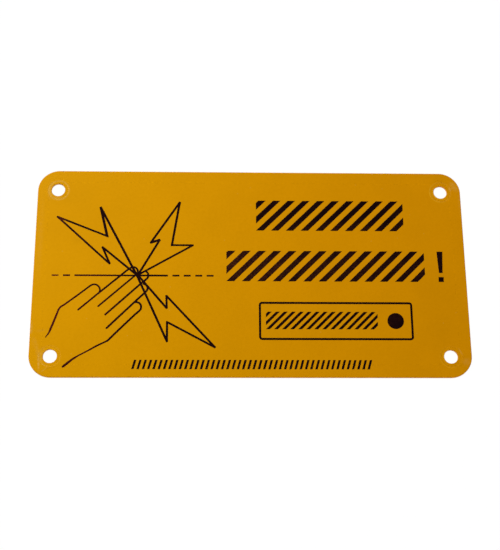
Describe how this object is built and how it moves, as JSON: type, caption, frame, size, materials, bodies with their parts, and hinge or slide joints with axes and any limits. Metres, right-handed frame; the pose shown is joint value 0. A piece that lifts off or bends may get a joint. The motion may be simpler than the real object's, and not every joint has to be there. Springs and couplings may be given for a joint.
{
  "type": "electric fence warning sign",
  "caption": "Flat rectangular plastic warning plate with rounded corners and a fixing hole in each corner, hung on or screwed beside an electric fence.",
  "frame": {"origin": "middle of the back face", "axes": "+X along the plate's length, to the right as the face is read, +Y up the face as it is read, +Z out of the printed face"},
  "size_m": [0.2, 0.1, 0.0015],
  "materials": {
    "yellow_plastic": "satin moulded plastic, golden yellow, faintly mottled, whitened about the holes",
    "black_ink": "thin warm black printing ink, slightly patchy"
  },
  "bodies": {
    "root": {"sign_plate": "yellow_plastic"}
  },
  "joints": []
}
